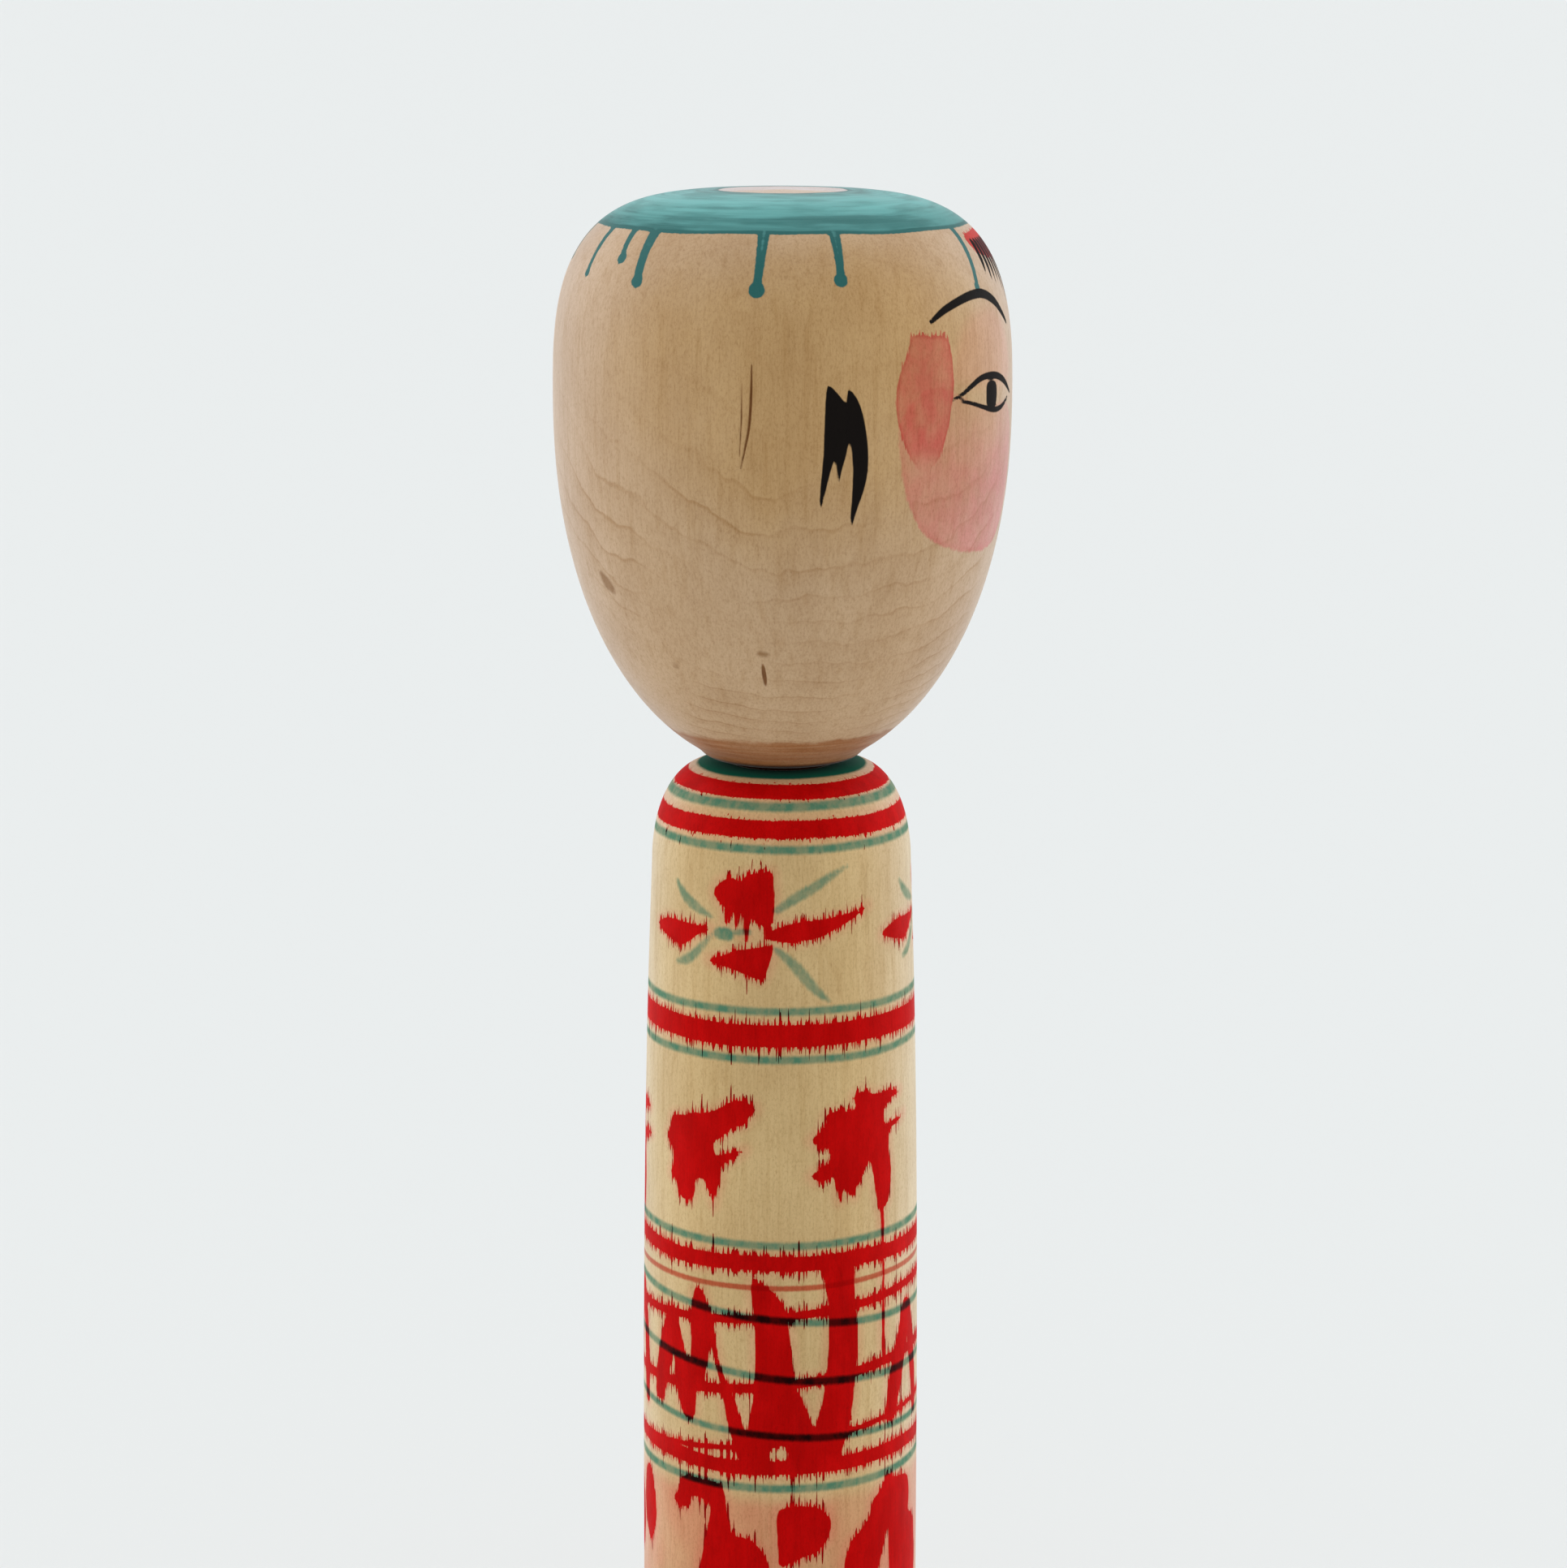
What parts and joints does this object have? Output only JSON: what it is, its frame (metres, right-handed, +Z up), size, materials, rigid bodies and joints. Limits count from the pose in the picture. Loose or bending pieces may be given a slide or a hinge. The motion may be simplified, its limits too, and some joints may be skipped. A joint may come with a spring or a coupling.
{
  "type": "kokeshi doll",
  "caption": "Turned wooden doll with an egg-shaped head that swivels on a slim, painted, column-shaped body.",
  "frame": {"origin": "centre of the flat base, on the surface that the doll stands on", "axes": "+Z up along the turning axis, the painted face looks along -Y, +X to the left of a person who looks out of the doll's face"},
  "size_m": [0.064, 0.064, 0.242],
  "materials": {
    "body_wood": "fine-turned pale hardwood under rubbed wax, with red and green dye bands and flowers",
    "head_wood": "fine-turned pale hardwood under rubbed wax, with a dyed ring on the crown and a brushed face"
  },
  "bodies": {
    "body": {"body": "body_wood"},
    "head": {"head": "head_wood"}
  },
  "joints": [
    {"name": "head_turn", "type": "hinge", "parent": "body", "child": "head", "pos_m": [0, 0, 0.1616], "axis": [0, 0, 1], "continuous": true}
  ]
}
